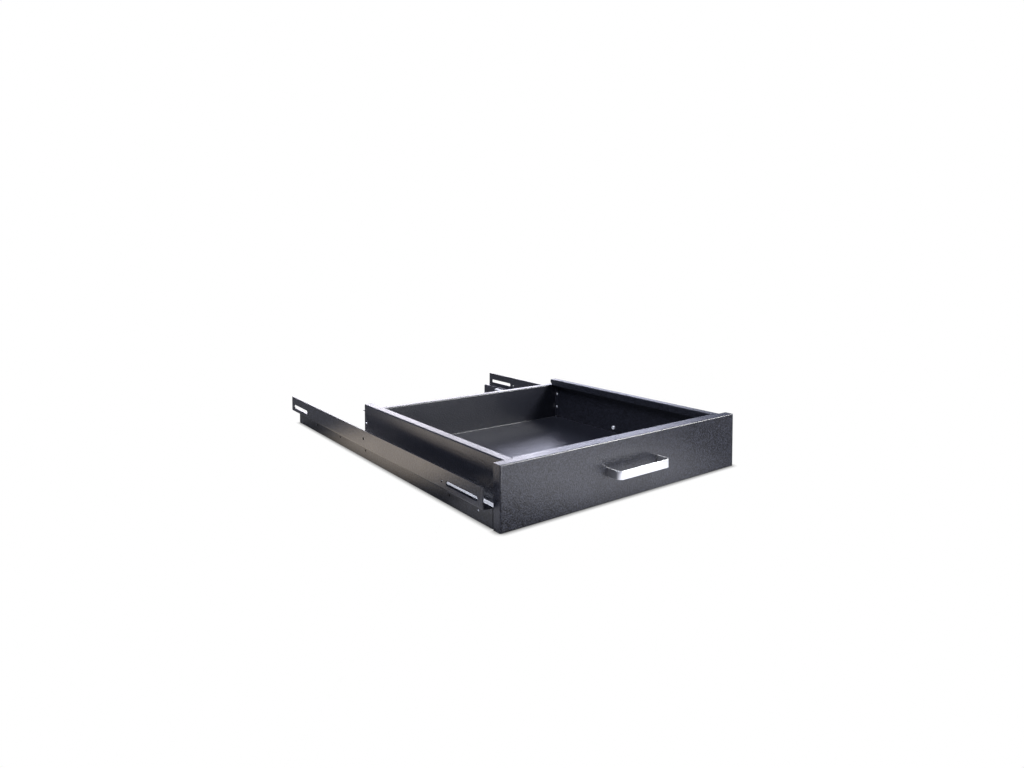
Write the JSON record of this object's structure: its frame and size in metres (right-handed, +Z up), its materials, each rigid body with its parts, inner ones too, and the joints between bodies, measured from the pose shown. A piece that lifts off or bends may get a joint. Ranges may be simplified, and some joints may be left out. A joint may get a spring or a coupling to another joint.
{
  "type": "sliding rack drawer",
  "caption": "Sliding drawer for an equipment rack: a folded steel tray behind a flanged front panel with a bow handle, on ball-bearing slides between Z-profile rails.",
  "frame": {"origin": "under the middle of the whole object's box, at the level that the rails and the panel stand on", "axes": "+X to the right seen from the front, +Y to the back, +Z up; the drawer opens towards -Y"},
  "size_m": [0.512, 0.764, 0.088],
  "materials": {
    "black_coat": "satin black powder coat with a fine texture, on steel sheet",
    "zinc_plate": "bright zinc-plated rolled steel",
    "cage_steel": "thin plain steel strip, lightly greased",
    "ball_steel": "polished bearing steel",
    "rubber": "matt black rubber",
    "black_screws": "black oxide on steel",
    "zinc_screws": "bright zinc-plated steel",
    "rivet_aluminium": "plain aluminium rivets",
    "handle_aluminium": "satin anodised aluminium bar"
  },
  "bodies": {
    "rails": {"rail_left": "black_coat", "slide_outer_left": "zinc_plate", "rail_screws_left": "black_screws", "slide_buffer_left": "rubber", "rail_right": "black_coat", "slide_outer_right": "zinc_plate", "rail_screws_right": "black_screws", "slide_buffer_right": "rubber"},
    "cage_left": {"ball_cage_left": "cage_steel", "slide_balls_left": "ball_steel"},
    "cage_right": {"ball_cage_right": "cage_steel", "slide_balls_right": "ball_steel"},
    "drawer": {"slide_inner_left": "zinc_plate", "slide_inner_right": "zinc_plate", "slide_screws_left": "zinc_screws", "slide_screws_right": "zinc_screws", "tray_floor": "black_coat", "tray": "black_coat", "corner_rivets_left": "rivet_aluminium", "corner_rivets_right": "rivet_aluminium", "front_panel": "black_coat", "panel_studs": "zinc_screws", "panel_nuts": "zinc_screws", "handle": "handle_aluminium"}
  },
  "joints": [
    {"name": "drawer_slide", "type": "slide", "parent": "rails", "child": "drawer", "axis": [0, -1, 0], "range_m": [0, 0.48]},
    {"name": "cage_left_slide", "type": "slide", "parent": "rails", "child": "cage_left", "axis": [0, -1, 0], "range_m": [0, 0.24]},
    {"name": "cage_right_slide", "type": "slide", "parent": "rails", "child": "cage_right", "axis": [0, -1, 0], "range_m": [0, 0.24]}
  ],
  "couplings": [
    {"joint": "cage_left_slide", "follows": "drawer_slide", "ratio": 0.5},
    {"joint": "cage_right_slide", "follows": "drawer_slide", "ratio": 0.5}
  ]
}
